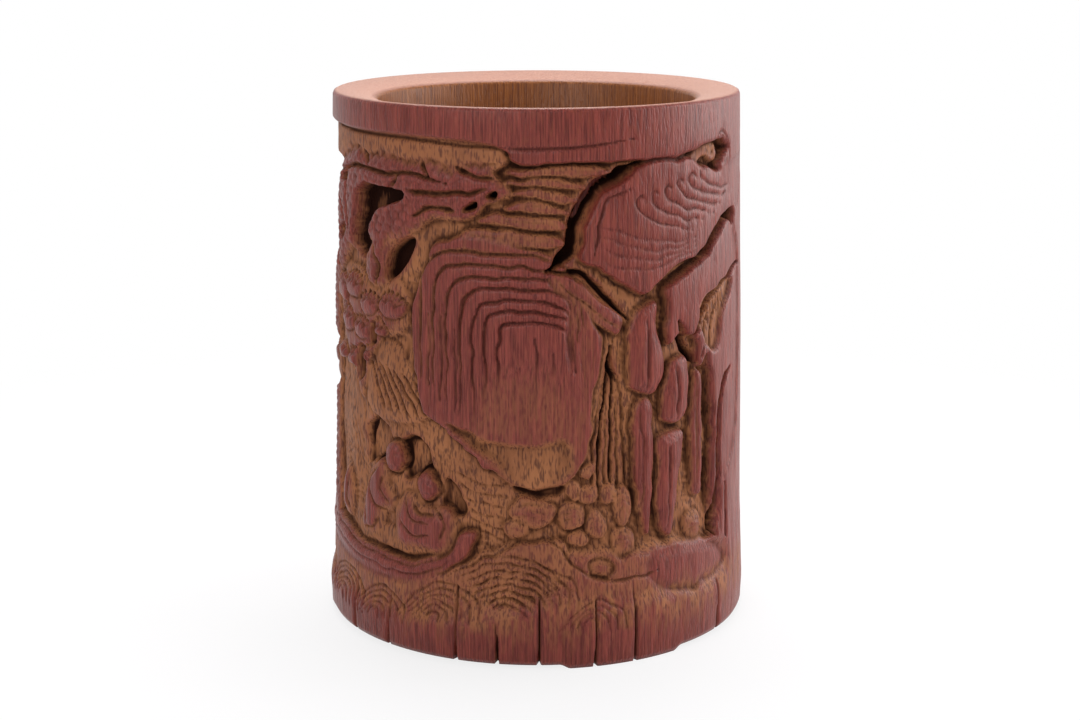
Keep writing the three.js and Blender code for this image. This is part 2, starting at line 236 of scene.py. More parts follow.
# Slope above the foot band
# The sunk ground climbs gently to the foot band all round, so that the water has a slope to lie
# on and no hard step shows above the foot.
slope_depth, slope_run = 1.0, 5
for bank in ([(-122, 13), (-102, 13), (-60, 12), (-30, 12), (0, 18), (4, 27), (-20, 25), (-40, 23),
              (-60, 24), (-102, 26), (-122, 26)],
             [(6, 20), (30, 17), (60, 16), (62, 26), (40, 31), (24, 31), (8, 31)],
             [(100, 12), (140, 14), (180, 12), (220, 12), (258, 13), (280, 13), (280, 26),
              (258, 26), (220, 24), (180, 26), (140, 26), (104, 26)]):
    level(bank, slope_depth, edge=slope_run, fresh=0.45)

# Rim band
# A band of polished skin stays under the mouth. Below it a strip is pared back to pale wood, and
# a long soft step ends in a cloud curl at the right.
pared_depth = 1.6
pared_strips = [[(-122, 133), (-122, 142), (-102, 142), (-60, 141.8), (-32, 141.8), (-11, 140.2),
                 (-10, 134), (-40, 132), (-102, 133)],
                [(110, 130), (116, 138), (170, 141), (230, 141.4), (258, 142), (280, 142),
                 (280, 133), (258, 133), (200, 131)]]
for strip in pared_strips:
    level(strip, pared_depth, edge=1.3, fresh=1)
cut([(-78, 141.4), (-58, 141), (-36, 140.8), (-18, 139.8), (0, 139.6), (14, 140.2), (27, 141.8)],
    1.1, 0.7)
cut([(-14, 135.6), (4, 135.2), (24, 135.4), (42, 136.4), (51, 138), (58, 138.2)], 1.2, 0.9)
level([(45, 133.5), (49, 136.6), (54, 138), (60, 137.8), (62, 135.4), (59, 133.2), (54, 134.8),
       (50, 133)], 2.0, edge=1.0)
curl_middle, smallest_ring, ring_spacing = 60, 2.2, 1.5
for ring in range(4):
    reach = smallest_ring + ring_spacing * ring
    cut([(curl_middle - reach, 135.4 - reach * 0.5), (curl_middle, 135 + reach * 0.9),
         (curl_middle + reach, 135.4), (curl_middle + reach * 0.7, 134 - reach)], 0.8, 0.55)

# Layered rock over the main cliff
# Flat beds of rock step back one above another and run down to the gully at their right end.
beds = [(-14, 6.5, 109.4, 112.6), (-21, 8, 114.6, 118.2), (-16, 9, 119.4, 122),
        (-9, 10, 123, 125.4), (-7, 12, 126.4, 128.6), (-9, 15, 129.6, 131.4),
        (-8, 22, 132.2, 134.6)]
bed_depth, bed_crown = 1.5, 0.5
for left, right, low, high in beds:
    middle = (low + high) / 2
    level([(left, middle - 0.6), (left + 4, high), (right - 6, high - 0.2), (right, middle - 1.4),
           (right - 4, low - 0.6), (left + 4, low + 0.2)], bed_depth, edge=0.8, crown=bed_crown)
    cut([(left + 3, middle), (right - 7, middle + 0.1), (right - 2, middle - 1.6)], 0.6, 0.35)

# Pine
# An old pine bends in from the left under the rim. Its bark is cut in scales, the spaces between
# its boughs are pierced deep, and the needles stand in fans.
pine_crown = [(-80, 120), (-76, 130), (-70, 134.5), (-60, 137.2), (-54, 135.4), (-46, 136.8),
              (-38, 135.6), (-30, 136), (-23, 134.6), (-15, 136), (-10, 132.5), (-7, 127),
              (-12, 125), (-18, 120.5), (-25, 120.5), (-31, 119.5), (-37, 115), (-44, 112.5),
              (-46.5, 106), (-47, 100.5), (-52, 100), (-56, 105), (-53.5, 112), (-58, 110),
              (-66, 108), (-72, 100), (-78, 104)]
pine_hollows = [[(-50, 120.5), (-43, 123.4), (-38.6, 125), (-41, 126.8), (-52, 127.4), (-60, 125),
                 (-62, 117), (-64, 110.5), (-57, 107.5), (-54, 114)],
                [(-46.4, 103), (-45.5, 109), (-41, 112.6), (-36, 114), (-38, 109), (-43, 104.5)],
                [(-73, 127), (-70, 130), (-66.5, 130.2), (-69, 127.4)],
                [(-76, 112), (-71, 115), (-68, 113), (-72, 110)],
                [(-19.5, 123), (-16.5, 125), (-16.6, 123.2)],
                [(-13.5, 126.5), (-10.6, 127.8), (-11.4, 125.8)]]
pine_trunk = [(-96, 26), (-93, 45), (-95, 66), (-92, 88), (-84, 104), (-76, 112), (-70, 106),
              (-79, 96), (-85, 80), (-86, 60), (-82, 42), (-78, 27)]
bark_width, bark_height, bark_groove = 3.3, 2.0, 0.5
scale_reach, groove_share = 0.58, 0.13


def scale_bark(points):
    """Scores rows of round bark scales inside an outline."""
    window, cover, _ = area(points)
    row = np.floor(row_height[window] / bark_height)
    across = (column_angle[window] / bark_width + 0.5 * (row % 2)) % 1 - 0.5
    up = row_height[window] / bark_height - row
    ring = np.abs(np.hypot(across * 1.15, up * 0.8) - scale_reach)
    depth[window] += cover * bark_groove * np.clip(1 - ring / groove_share, 0, 1)


bough_depth, bough_crown = 0.9, 1.1
for bough in (pine_trunk, pine_crown):
    level(bough, bough_depth, edge=1.4, crown=bough_crown)
    scale_bark(bough)
furrow_width, furrow_depth = 1.5, 1.7
for furrow in ([(-77, 128), (-64, 131.5), (-50, 131), (-38, 131.6), (-24, 130)],
               [(-38, 127), (-29, 126.6), (-20, 127.4), (-12, 129)],
               [(-36, 121), (-29, 123.4), (-22, 122.6)], [(-66, 132), (-68, 124), (-66, 114)],
               [(-56, 136), (-53, 132.4)], [(-33, 135), (-30, 131)], [(-44, 127.6), (-41, 131)],
               [(-52, 112), (-49, 106), (-50, 101)], [(-75, 122), (-71, 118), (-70, 110)],
               [(-22, 134), (-16, 132), (-11, 132)]):
    cut(furrow, furrow_width, furrow_depth)
hollow_depth = 7.5
for opening in pine_hollows:
    level(opening, hollow_depth, edge=0.9)

# Needle fans
# Each clump of needles is a cushion with curled lobes, and every lobe is scored with a fan of
# short cuts that run out from its root.
needle_clumps = [[(-76, 99), (-70, 103.5), (-60, 104.5), (-50, 100.5), (-42, 103.5), (-37.5, 98),
                  (-39, 90), (-46, 86), (-47, 80), (-53, 77), (-58, 68), (-61, 72), (-66, 78),
                  (-72, 84), (-75, 92)],
                 [(249, 118), (256, 127), (259, 120), (258, 110), (252, 109)],
                 [(228, 92), (236, 101), (247, 100), (254, 92), (250, 82), (238, 80)],
                 [(-99, 72), (-97, 80), (-90, 82), (-84, 75), (-88, 66), (-98, 63)]]
needle_lobes = [(-71, 97, 5.4), (-62, 99, 5.0), (-53, 95, 4.6), (-43.5, 96, 5.2), (-66, 89, 4.6),
                (-57, 88, 4.2), (-48, 89, 3.4), (-61, 79, 4.4), (-53.5, 81, 3.4), (-71, 79, 3.6),
                (234, 92, 5), (244, 93, 5), (240, 85, 4), (253, 117, 5), (-92, 75, 5)]
clump_depth, clump_crown = 1.6, 1.0
for clump in needle_clumps:
    level(clump, clump_depth, edge=1.3, crown=clump_crown)
needles_in_lobe, first_needle, needle_turn = 7, 20, 23
for x, y, reach in needle_lobes:
    boulder(x, y, reach, reach * 0.7, top=0.8, proud=1.0, rim=0.5)
    for needle in range(needles_in_lobe):
        turn = math.radians(first_needle + needle_turn * needle)
        cut([(x + 0.25 * reach * math.cos(turn), y + 0.2 * reach * math.sin(turn)),
             (x + 1.1 * reach * math.cos(turn), y + 0.9 * reach * math.sin(turn))], 0.9, 1.0,
            samples=2)
for gap in ([(-60, 73), (-56, 76), (-56.6, 83), (-60, 82)],
            [(-53, 84), (-50, 85), (-50.5, 90), (-52.6, 89)], [(-48.6, 82), (-46, 83), (-47, 86)],
            [(-68, 92), (-65.5, 94), (-67, 96)]):
    level(gap, 5.5, edge=0.8)

# Slanting rock shelf
# Between the pine and the main cliff a shelf of bare rock slopes down to the right. It is left
# rough, with long slanting gouge marks, and two deep hollows lie below it.
shelf_depth = 2.3
level([(-56, 72), (-50, 84), (-42, 86), (-37, 80), (-33, 74), (-27, 68), (-36, 65), (-46, 64),
       (-54, 65)], shelf_depth, edge=1.4, crown=0.6, fresh=0.9)
for stroke in range(9):
    start = -55 + 3.1 * stroke
    cut([(start, 82 - 0.8 * stroke), (start + 5, 74 - 0.6 * stroke),
         (start + 8, 67 - 0.2 * stroke)], 1.3, 1.0)
level([(-57, 61), (-51, 63), (-46, 59), (-46.6, 52), (-52, 51), (-56, 54)], 6.5, edge=1.2)
level([(-41, 58), (-36, 61), (-31.6, 57), (-30, 50), (-35, 52), (-38.5, 50)], 6.0, edge=1.2)

# Main cliff and the cliffs behind
# A tall slab of rock left almost at the skin. Arched steps are nested inside it like the layers of
# a worn cliff face, and its foot is scooped back to the pale wood.
cliffs = [([(-31, 108), (-28, 114), (-18, 116), (-6, 114.4), (4, 112), (4, 107.5), (9, 105),
            (14, 97), (18, 87), (16, 76), (14, 60), (8, 51), (0, 49), (-8, 51), (-14, 59),
            (-24, 67.5), (-30, 72), (-35.5, 82), (-36, 98)],
           [(-32, 11.5, 68, 111.4), (-28, 10.8, 66, 108.4), (-24, 10.2, 63, 105.4),
            (-20, 9.6, 60, 102.6), (-16.4, 9.2, 57, 99.6), (-13, 8.8, 56, 96.8),
            (-9.4, 8.4, 55, 94)]),
          ([(112, 40), (111, 70), (114, 100), (121, 117), (132, 121), (142, 114), (147, 96),
            (148, 70), (144, 48), (130, 36)],
           [(115, 145, 44, 111), (118.5, 142, 48, 106), (122, 139, 52, 100), (125, 136, 55, 94)]),
          ([(172, 36), (170, 62), (174, 84), (184, 94), (197, 92), (205, 80), (208, 58), (203, 38),
            (188, 32)],
           [(175, 203, 41, 85), (178.5, 200, 44, 79), (182, 197, 47, 73)])]
cliff_depth, lowest_step, step_rise = 1.5, 1.25, 0.17
corner_share = 0.14
riser_width, riser_depth = 1.0, 1.1
for outline, arches in cliffs:
    level(outline, cliff_depth, edge=1.6)
    for step, (left, right, foot, top) in enumerate(arches):
        round_off = (right - left) * corner_share
        level([(left, foot), (left - 0.4, (foot + top) / 2), (left, top - round_off),
               (left + round_off, top), ((left + right) / 2, top + 0.6),
               (right - round_off, top - 1), (right, top - round_off - 1),
               (right + 0.3, (foot + top) / 2), (right - 0.6, foot),
               ((left + right) / 2, foot - 3)], lowest_step - step_rise * step, edge=0.7)
        cut([(left - 0.2, foot + 4), (left - 0.4, (foot + top) / 2), (left - 0.1, top - round_off),
             (left + round_off, top + 0.3), ((left + right) / 2, top + 0.8),
             (right - round_off, top - 0.8), (right, top - round_off - 1.4),
             (right + 0.2, foot + 18)], riser_width, riser_depth)
for x, low, high in [(-30, 76, 96), (-26, 72, 99), (-22, 70, 92), (-5, 66, 84), (0, 62, 90),
                     (4, 70, 86)]:
    cut([(x, low), (x + 0.3, (low + high) / 2), (x, high)], 0.9, 0.7)
level([(-14, 78), (-4, 82), (6, 80), (12, 66), (8, 54), (0, 50), (-8, 54), (-18, 62)], cliff_depth,
      edge=10, fresh=0.15)
level([(-24, 66), (-12, 62), (0, 60.5), (8, 62), (10, 56), (5, 49.5), (0, 48.5), (-6, 50),
       (-12, 57)], 2.9, edge=3.0, fresh=1)
level([(-6, 49.6), (0, 48.6), (7, 50), (6, 47.6), (0, 46.6), (-5, 47.8)], 5.2, edge=1.0)

# Rock and cloud behind
# The side away from the boat carries on in the same way: beds of rock step down from the rim band
# between the cliffs, and bands of cloud curl through the open ground.
far_bed_depth, cloud_depth = 1.7, 1.9
for left, right, high, fall in [(150, 214, 127, -5), (156, 206, 121, -6), (160, 198, 115.4, -6),
                                (206, 252, 110, 5), (212, 250, 104.4, 4), (209, 226, 84, 2),
                                (210, 224, 79, 2), (112, 128, 128, 3), (150, 168, 96, 3),
                                (151, 166, 90, 3), (211, 230, 68, 2)]:
    span = right - left
    level([(left, high + 0.4), (left + 0.25 * span, high + 2.3),
           (left + 0.6 * span, high + 2 + 0.6 * fall), (right, high + fall),
           (right - 0.2 * span, high - 2.4 + 0.8 * fall), (left + 0.3 * span, high - 2.2)],
          far_bed_depth, edge=0.9, crown=0.6)
    cut([(left + 0.08 * span, high), (left + 0.5 * span, high + 0.3 + 0.4 * fall),
         (right - 2, high + 0.9 * fall)], 0.9, 0.7)
for x, y, size in [(216, 96, 5), (232, 74, 5.6), (246, 66, 5), (238, 60, 4.4), (156, 106, 5),
                   (165, 84, 4.6), (222, 118, 5), (236, 122, 4.6), (240, 44, 5), (252, 50, 4.4)]:
    level([(x - size * 1.5, y - 0.3 * size), (x - 0.7 * size, y + 0.7 * size),
           (x + 0.5 * size, y + 0.8 * size), (x + 1.5 * size, y), (x + 0.6 * size, y - 0.7 * size),
           (x - 0.6 * size, y - 0.6 * size)], cloud_depth, edge=1.0, crown=0.8)
    cut([(x + size * (0.12 + 0.13 * k) * math.cos(0.9 * k),
          y + size * (0.1 + 0.08 * k) * math.sin(0.9 * k)) for k in range(8)], 0.9, 0.9)
    cut([(x - 1.4 * size, y - 0.9 * size), (x, y - 1.1 * size), (x + 1.8 * size, y - 0.8 * size)],
        1.0, 0.8)

# Gully and the crag under the rim
# The gully is the deepest cut of the front and parts the beds from a broad crag. The crag keeps the
# skin, and long curved scores sweep over it from a row of small curls.
crag = [(28, 135), (22, 131.5), (17, 128), (14, 122), (12.5, 115), (12, 111), (20, 106.6),
        (29, 100.6), (38, 105.6), (50, 110), (58, 115.5), (66, 118.6), (76, 119), (82, 124),
        (84, 133), (70, 133), (60, 131), (50, 133), (44, 135.4)]
crag_depth = 0.35
gully_width, gully_depth = 3.4, 6.5
level(crag, crag_depth, edge=1.4)
cut([(29, 135), (23, 132), (17.5, 129.4), (13, 125.6), (10.6, 120), (9.4, 114), (6, 110.4),
     (2.4, 108)], gully_width, gully_depth)
cut([(2.4, 108.4), (7, 107.6), (12, 107.6), (17, 103.6), (21, 98.6), (26, 94)], 1.7, 3.2)
cut([(26, 129), (19.6, 126.6), (17.2, 122), (17, 117), (15.4, 111.4)], 1.0, 0.9)
for score in range(6):
    start = 27 + 4.6 * score
    rise = 124 + 1.1 * score
    cut([(start + 2.6, rise + 1.2), (start + 1.4, rise + 2.8), (start, rise + 1.4),
         (start + 1.6, rise - 1.2), (start + 9, rise - 5.5 + 0.4 * score),
         (start + 20, rise - 8.2 + 0.8 * score)], 0.75, 0.6)
for i in range(4):
    cut([(16, 120 - 3 * i), (26, 115.5 - 2.7 * i), (37, 113.6 - 1.8 * i), (48, 114 - 1.1 * i)], 0.7,
        0.35)
for i in range(9):
    cut([(14 + 2 * i, 109 - 0.9 * i), (14.6 + 2 * i, 106.4 - 0.9 * i)], 0.8, 0.45, samples=2)

# The fall
# Water drops between the main cliff and the right hand rocks. It starts as a scored stream under
# the crag and breaks into standing flutes with narrow dark slots between them.
level([(3.6, 106.8), (12, 105.4), (18, 99.6), (24, 94.4), (22, 90), (17, 92.6), (11, 99), (4, 103)],
      1.4, edge=0.8, crown=0.5)
for i in range(11):
    t = i / 10
    cut([(5 + 15 * t, 105.8 - 12 * t), (7.4 + 15 * t, 103.4 - 12 * t)], 0.7, 0.45, samples=2)
flute_depth, slot_depth = 1.1, 2.4
for flute in range(6):
    cut([(21.6 - 0.3 * flute, 88 - flute), (18.6 + 1.1 * flute, 74), (15.4 + 1.8 * flute, 60),
         (14.8 + 2 * flute, 48)], 1.1, slot_depth if flute in (1, 3) else flute_depth)

# Rocks right of the fall
# Upright rocks lean together on the right, each a rounded pillar of skin, with deep clefts that
# the carver opened between them.
pillars = [[(26, 76), (32, 73), (36, 77), (36.4, 83), (34.4, 90), (34, 98), (28, 96), (25.4, 86)],
           [(26.6, 62), (28, 71), (32, 72), (33.2, 66), (33, 48), (31.5, 35), (29.4, 40), (27, 52)],
           [(34.6, 52), (35, 61), (42, 62), (44, 59), (42, 46), (40.4, 35), (37.6, 33), (34.6, 38)],
           [(36, 67), (40, 64), (44.6, 66), (46.4, 74), (45, 82), (38, 79.5)],
           [(47.5, 50), (48, 74), (51.5, 76), (52, 60), (51.6, 44), (48.6, 42)],
           [(152, 44), (152, 66), (156, 74), (160, 68), (160, 48), (156, 38)],
           [(162, 40), (163, 56), (167, 60), (169, 52), (168, 38)]]
right_cliff = [(37, 97), (38, 102), (50, 107), (58, 112), (66, 116), (72, 112), (76, 100), (74, 60),
               (62, 42), (60, 29), (56, 45), (57, 60), (54.6, 80), (50, 78), (49, 86), (42, 88),
               (38, 86)]
right_cliff_depth, pillar_depth, pillar_crown = 0.5, 0.6, 0.9
level(right_cliff, right_cliff_depth, edge=1.2)
for pillar in pillars:
    level(pillar, pillar_depth, edge=1.2, crown=pillar_crown)
    outline = np.array(pillar)
    middle, low, high = outline[:, 0].mean(), outline[:, 1].min(), outline[:, 1].max()
    cut([(middle - 0.8, low + 2), (middle - 0.4, (low + high) / 2), (middle - 1, high - 2)], 0.9,
        0.8)
level([(50, 95), (58, 98.6), (66, 100), (70, 98), (62, 90), (58, 82), (53, 84)], 1.9, edge=1.6,
      fresh=0.9)
for i in range(8):
    cut([(51 + 1.7 * i, 95 + 0.3 * i), (53 + 1.5 * i, 87 + 0.9 * i)], 0.9, 0.7, samples=3)
for path, width, deep in [([(48, 87), (54, 94), (62, 99), (76, 103)], 2.6, 3.4),
                          ([(53, 81), (53.2, 70), (53, 57)], 1.8, 3.6),
                          ([(68, 74.4), (62, 70.5), (60.2, 62), (59.6, 45), (58, 29)], 2.8, 4.6),
                          ([(63.6, 43), (63.8, 34), (63.4, 26)], 1.2, 1.6),
                          ([(41, 92), (46, 84), (50, 79)], 3.2, 3.6),
                          ([(56, 92), (52, 84), (50.6, 80)], 0.9, 0.9),
                          ([(60, 95), (57, 88), (56, 82)], 0.9, 0.9),
                          ([(40, 104), (50, 108), (60, 113.6)], 0.9, 1.0)]:
    cut(path, width, deep)

# Boat
# A long flat hull lies across the lower left with its bow lifted. Strakes are scored along its
# side, and its deck is cut back to pale wood.
hull_depth, deck_depth = 0.6, 2.7
level([(-92, 34), (-80, 30.4), (-66, 28.6), (-50, 27), (-38, 26.4), (-31, 27.4), (-25, 31.4),
       (-20, 36.6), (-16.6, 37), (-18, 31.6), (-24, 26), (-34, 21.6), (-46, 19.6), (-62, 20.6),
       (-80, 22.4), (-91, 26)], hull_depth, edge=1.2, crown=0.7)
for drop, bite in ((1.4, 0.9), (4.2, 0.6)):
    cut([(-84, 30.6 - drop), (-66, 28.8 - drop), (-50, 27.2 - drop), (-37, 26.4 - drop * 0.9),
         (-28, 29 - drop), (-21, 34.6 - drop * 0.8)], 0.9, bite)
level([(-60, 29.4), (-50, 28.6), (-38, 28), (-31, 29), (-29, 34), (-36, 33), (-46, 34), (-58, 34)],
      deck_depth, edge=1.0, fresh=1)

# Figures in the boat
# Seated figures in plain robes, two of them with rounded heads. The faces are calm and general,
# with closed eyes and a mouth cut small in the wood.
shade_depth = 5.4
robe_depth, robe_crown = 1.2, 1.3
robes = [[(-57.6, 30.6), (-57.6, 38), (-55.4, 46.6), (-50, 52.6), (-46.6, 51), (-44.4, 46),
          (-41.6, 40), (-46.6, 37.6), (-48.8, 31)],
         [(-42, 31), (-41.8, 40), (-38.4, 45), (-33, 42), (-28, 42), (-24.4, 43), (-21.6, 38),
          (-24.4, 29.4), (-34, 28.8)],
         [(-72, 31), (-73.4, 40), (-69.6, 46), (-65, 44), (-64.8, 36), (-67, 31.4)]]
for shade in ([(-56.6, 50), (-54, 62.4), (-47.4, 61.6), (-47.8, 56), (-52, 52.6)],
              [(-39, 49), (-37, 58.6), (-33.4, 59.4), (-31.6, 54), (-35.6, 50)],
              [(-26.6, 44), (-25, 51), (-21, 47), (-19.6, 42), (-22, 41)]):
    level(shade, shade_depth, edge=1.2)
for robe in robes:
    level(robe, robe_depth, edge=1.3, crown=robe_crown)
for fold in ([(-49, 51), (-53, 46), (-51, 40), (-45, 38.6)], [(-53, 49), (-56, 41), (-54, 33)],
             [(-47, 48), (-47.6, 44), (-43.6, 40.6)], [(-49, 36), (-51, 33), (-56, 32)],
             [(-39, 43), (-36, 38.6), (-30, 37.6)], [(-40, 37), (-35, 33.4), (-29, 34.6)],
             [(-28, 41.6), (-25, 38), (-26.4, 33)], [(-36, 42.6), (-33, 40), (-28.6, 40)],
             [(-70, 44), (-71, 38), (-70, 33)], [(-67, 43), (-68, 37), (-67, 33)]):
    cut(fold, 1.0, 0.8)
for x, y, half_width, half_height in ((-43, 54.2, 4.3, 4.8), (-31, 48, 3.9, 4.4)):
    boulder(x, y, half_width, half_height, top=0.7, proud=3.2)
    cut([(x - 0.6 * half_width, y + 0.9), (x - 0.15 * half_width, y + 1.2)], 0.7, 0.5, samples=2)
    cut([(x + 0.2 * half_width, y + 1.2), (x + 0.65 * half_width, y + 0.9)], 0.7, 0.5, samples=2)
    cut([(x - 0.3 * half_width, y - 2.1), (x + 0.4 * half_width, y - 2.1)], 0.6, 0.4, samples=2)

# Boulders and the bank
# Loose stones crowd the water's edge below the cliff, with a low mound at the lower right.
mound_depth = 0.9
stone_depth, stone_crown, stone_corners = 1.2, 1.1, 6
level([(31, 22), (32, 29.6), (40, 30), (50, 29.6), (57, 27.4), (63, 22), (60, 18), (44, 16)],
      mound_depth, edge=1.4, crown=0.6)
stones = [(-1, 43, 6, 4.6), (-5.6, 38.4, 4, 2.8), (9.6, 41.6, 4, 4), (6, 32.6, 3.2, 2.8),
          (18, 27.6, 4.6, 3.4), (14, 47.6, 3, 3), (20, 48, 3, 3.2), (13.8, 54.2, 1.7, 1.9),
          (10, 48.6, 2.4, 2.6), (24, 44, 2.6, 6), (17, 39, 3.6, 4.4), (24, 34, 3.6, 4.6),
          (12, 35, 3, 2.6), (49.6, 34, 4.6, 4), (122, 30, 8, 6), (136, 28, 7, 5), (152, 30, 8, 6),
          (168, 27, 8, 5), (186, 26, 9, 5), (206, 30, 9, 6), (220, 40, 7, 8), (232, 28, 8, 6),
          (218, 56, 6, 6)]
for x, y, half_width, half_height in stones:
    turns = np.linspace(0, math.tau, stone_corners, endpoint=False) + random.uniform(0, 1)
    corners = [(x + half_width * random.uniform(0.8, 1.15) * math.cos(turn),
                y + half_height * random.uniform(0.8, 1.15) * math.sin(turn)) for turn in turns]
    level(corners, stone_depth, edge=0.9, crown=stone_crown, fresh=0.35)
    for share in (-0.35, 0.05, 0.45):
        cut([(x - 0.7 * half_width, y + share * half_height), (x, y + (share + 0.25) * half_height),
             (x + 0.7 * half_width, y + (share - 0.1) * half_height)], 0.7, 0.45, samples=3)

# Water
# A swell rises between the boat and the stones and is scored in long arcs. The rest of the river
# is scored in nested arcs that roll along the foot band and pile up round the boat.
swell_depth = 1.5
arc_spacing, arc_lean = 1.9, 0.35
level([(-27, 23), (-14, 31), (2, 36), (8, 31), (10, 26), (2, 20), (-12, 17), (-24, 19)],
      swell_depth, edge=2.4, fresh=0.75)
for arc in range(8):
    reach = 6 + 2.0 * arc
    cut([(-8 + reach * math.cos(turn), 12 + 0.95 * reach * math.sin(turn))
         for turn in (0.5, 0.95, 1.4, 1.9, 2.4)], 0.9, 0.7)
for centre, height, count, first in [(-29, 12, 6, 2.0), (-49, 9, 5, 2.0), (-68, 9, 6, 2.0),
                                     (-86, 9, 5, 2.0), (-7, 17, 7, 3.0), (14, 12, 4, 2.0),
                                     (120, 10, 5, 2), (140, 10, 5, 2), (160, 10, 5, 2),
                                     (180, 10, 5, 2), (200, 10, 5, 2), (220, 10, 5, 2),
                                     (240, 10, 5, 2)]:
    for arc in range(count):
        reach = first + arc_spacing * arc
        lean = arc_lean * reach
        cut([(centre - reach, height - 1), (centre - reach * 0.7 + lean, height + reach * 0.6),
             (centre + lean, height + reach * 0.85),
             (centre + reach * 0.8 + lean, height + reach * 0.5),
             (centre + reach * 1.25, height - 2)], 0.8, 0.6)
for i in range(6):
    cut([(-24 + 1.4 * i, 53 - 3 * i), (-16, 50 - 2.6 * i), (-8, 50 - 3.2 * i)], 0.7, 0.5)
cut([(-24, 24), (-12, 31), (2, 36), (9, 30), (16, 24.6), (26, 23.6), (35, 25)], 1.3, 0.9)

# Splits in the foot
# The wall shrank on its floor as it dried, and the foot opened in narrow upright splits.
split_cut, split_half_width = 3.0, 0.36
split_depth = np.zeros_like(depth)
for x, top in [(-57.5, 19), (-42.6, 18.5), (-21.3, 22.5), (-10.3, 14), (0.7, 20), (15.5, 19),
               (26.5, 23), (57.4, 19), (98, 15), (139, 20), (171, 17), (212, 21), (251, 16)]:
    line = np.array([(x, -2), (x + 0.15, top * 0.5), (x, top)])
    window = chart_window(line, 1.2)
    nearest, along, _ = distance_to(line, window)
    narrowing = split_half_width * (1.2 - along)
    split_depth[window] += split_cut * np.clip(1.25 - nearest / narrowing, 0, 1)

# Wandering lines and knife marks
# Nothing here was ruled: every line wanders a little, and the blade leaves faint upright marks
# between the rim band and the foot.
wander = 0.55
shift_across = wander * (unevenness(3.2, 3.6) + 0.9 * unevenness(9, 11))
shift_up = wander * (unevenness(3.4, 3.2) + 0.9 * unevenness(10, 9))
in_field = eased((row_height - 7) / 5) * eased((139 - row_height) / 4)
source_column = np.clip((column_angle - chart_start) / chart_step
                        + shift_across * in_field / chart_step, 0, chart_columns - 1.001)
source_row = np.clip(row_height / chart_step + shift_up * in_field / chart_step, 0,
                     chart_rows - 1.001)
depth = between(depth, source_column, source_row)
knife_chatter = 0.10
knife_marks = knife_chatter * (1 + unevenness(1.0, 9))
depth += knife_marks * eased((140 - row_height) / 3) * eased(row_height / 4)
deepest_cut, plain_rim = 8.2, 3
depth = np.clip(depth, 0, deepest_cut)
depth[row_height > pot_height - plain_rim] = 0

# Dirt, painted shade and worn skin
# Dirt and painted shade darken the cuts and hollows, most where they are deep. The dark skin
# is left on what the carver didn't cut, on raised edges that hands have polished, and less on the
# worn foot.


def blurred(field, radius):
    """A chart smoothed over a square, which runs on where the chart's two ends meet."""
    size = 2 * radius + 1
    for axis in (0, 1):
        mode = "wrap" if axis == 1 else "edge"
        padding = [(0, 0), (0, 0)]
        padding[axis] = (radius + 1, radius)
        total = np.cumsum(np.pad(field, padding, mode=mode), axis=axis)
        if axis == 0:
            field = (total[size:] - total[:-size]) / size
        else:
            field = (total[:, size:] - total[:, :-size]) / size
    return field


depth = blurred(depth, 1) * 0.5 + depth * 0.5 + split_depth
around = blurred(blurred(depth, 3), 3)
close_by = blurred(depth, 2)
# Painted shade and dirt: wood lower than its surroundings, and cuts deeper than 5 mm, get a
# darkening share.
broad_shade_and_dirt = 0.6 * np.clip((depth - around) / 1.0, 0, 1)
line_shade_and_dirt = np.clip((depth - close_by) / 0.35, 0, 0.6)
deep_shade_and_dirt = 0.8 * np.clip((depth - 5.0) / 2.6, 0, 1)
hollow_map = broad_shade_and_dirt + line_shade_and_dirt + deep_shade_and_dirt
ridge_map = np.clip((around - depth) / 0.8, 0, 1)
near_foot = eased((22 - row_height) / 4) * eased((row_height - 7) / 5)
foot_wear = near_foot * np.clip(0.6 + 1.4 * unevenness(1.0, 3), 0, 1)
skin_left = eased((2.7 - depth) / 1.5)
patina_map = np.clip(skin_left + 0.55 * ridge_map - 0.8 * foot_wear, 0, 1)
patina_map *= 1 - 0.85 * fresh_cut


def read_chart(chart, angle, z):
    """The value of a chart at each angle and height."""
    column = ((angle - chart_start) % 360) / chart_step
    return between(chart, column, np.clip(z / chart_step, 0, chart_rows - 1.001))


def wall_section():
    """The section of the turned wall, [radius, height] in millimetres, outside first."""
    outside = [(skin_radius(z), z)
               for z in np.arange(0, pot_height - rim_rounding * 1.2, chart_step)]
    mouth = float(skin_radius(pot_height))
    rim = [(mouth, pot_height - rim_rounding), (mouth - 0.3, pot_height - 0.35),
           (mouth - rim_rounding, pot_height)]
    slope_step, slope_width = 1.2, 11.4
    slope = [(mouth - rim_rounding - slope_step * i,
              pot_height - rim_slope * (slope_step * i) / slope_width) for i in range(1, 9)]
    lip_height = pot_height - rim_slope
    lip = [(mouth_bore + 1.0, lip_height), (mouth_bore + 0.3, lip_height - 0.3),
           (mouth_bore, lip_height - 1.0)]
    bore_top, bore_foot, bore_steps = lip_height - 1.0, rebate_top, 24
    bore = [(mouth_bore + (foot_bore - mouth_bore) * i / bore_steps,
             bore_top + (bore_foot - bore_top) * i / bore_steps) for i in range(1, bore_steps + 1)]
    foot = [(rebate_radius, rebate_top), (rebate_radius, 4.0), (rebate_radius, 0.0), (51.5, 0.0),
            (55.5, 0.0)]
    return outside + rim + slope + lip + bore + foot


# Mesh of the wall
# A flat grid is wrapped round the axis and round the section, and its edges are then merged. It
# takes seconds, where a spin of this many steps takes minutes. The carving is then sunk into it.


def measured(mesh):
    """A mesh's points in millimetres, with the radius and angle of each round the axis."""
    places = np.empty(len(mesh.vertices) * 3)
    mesh.vertices.foreach_get("co", places)
    places = places.reshape(-1, 3) / MM
    angle = np.degrees(np.arctan2(places[:, 0], -places[:, 1]))
    return places, np.hypot(places[:, 0], places[:, 1]), angle


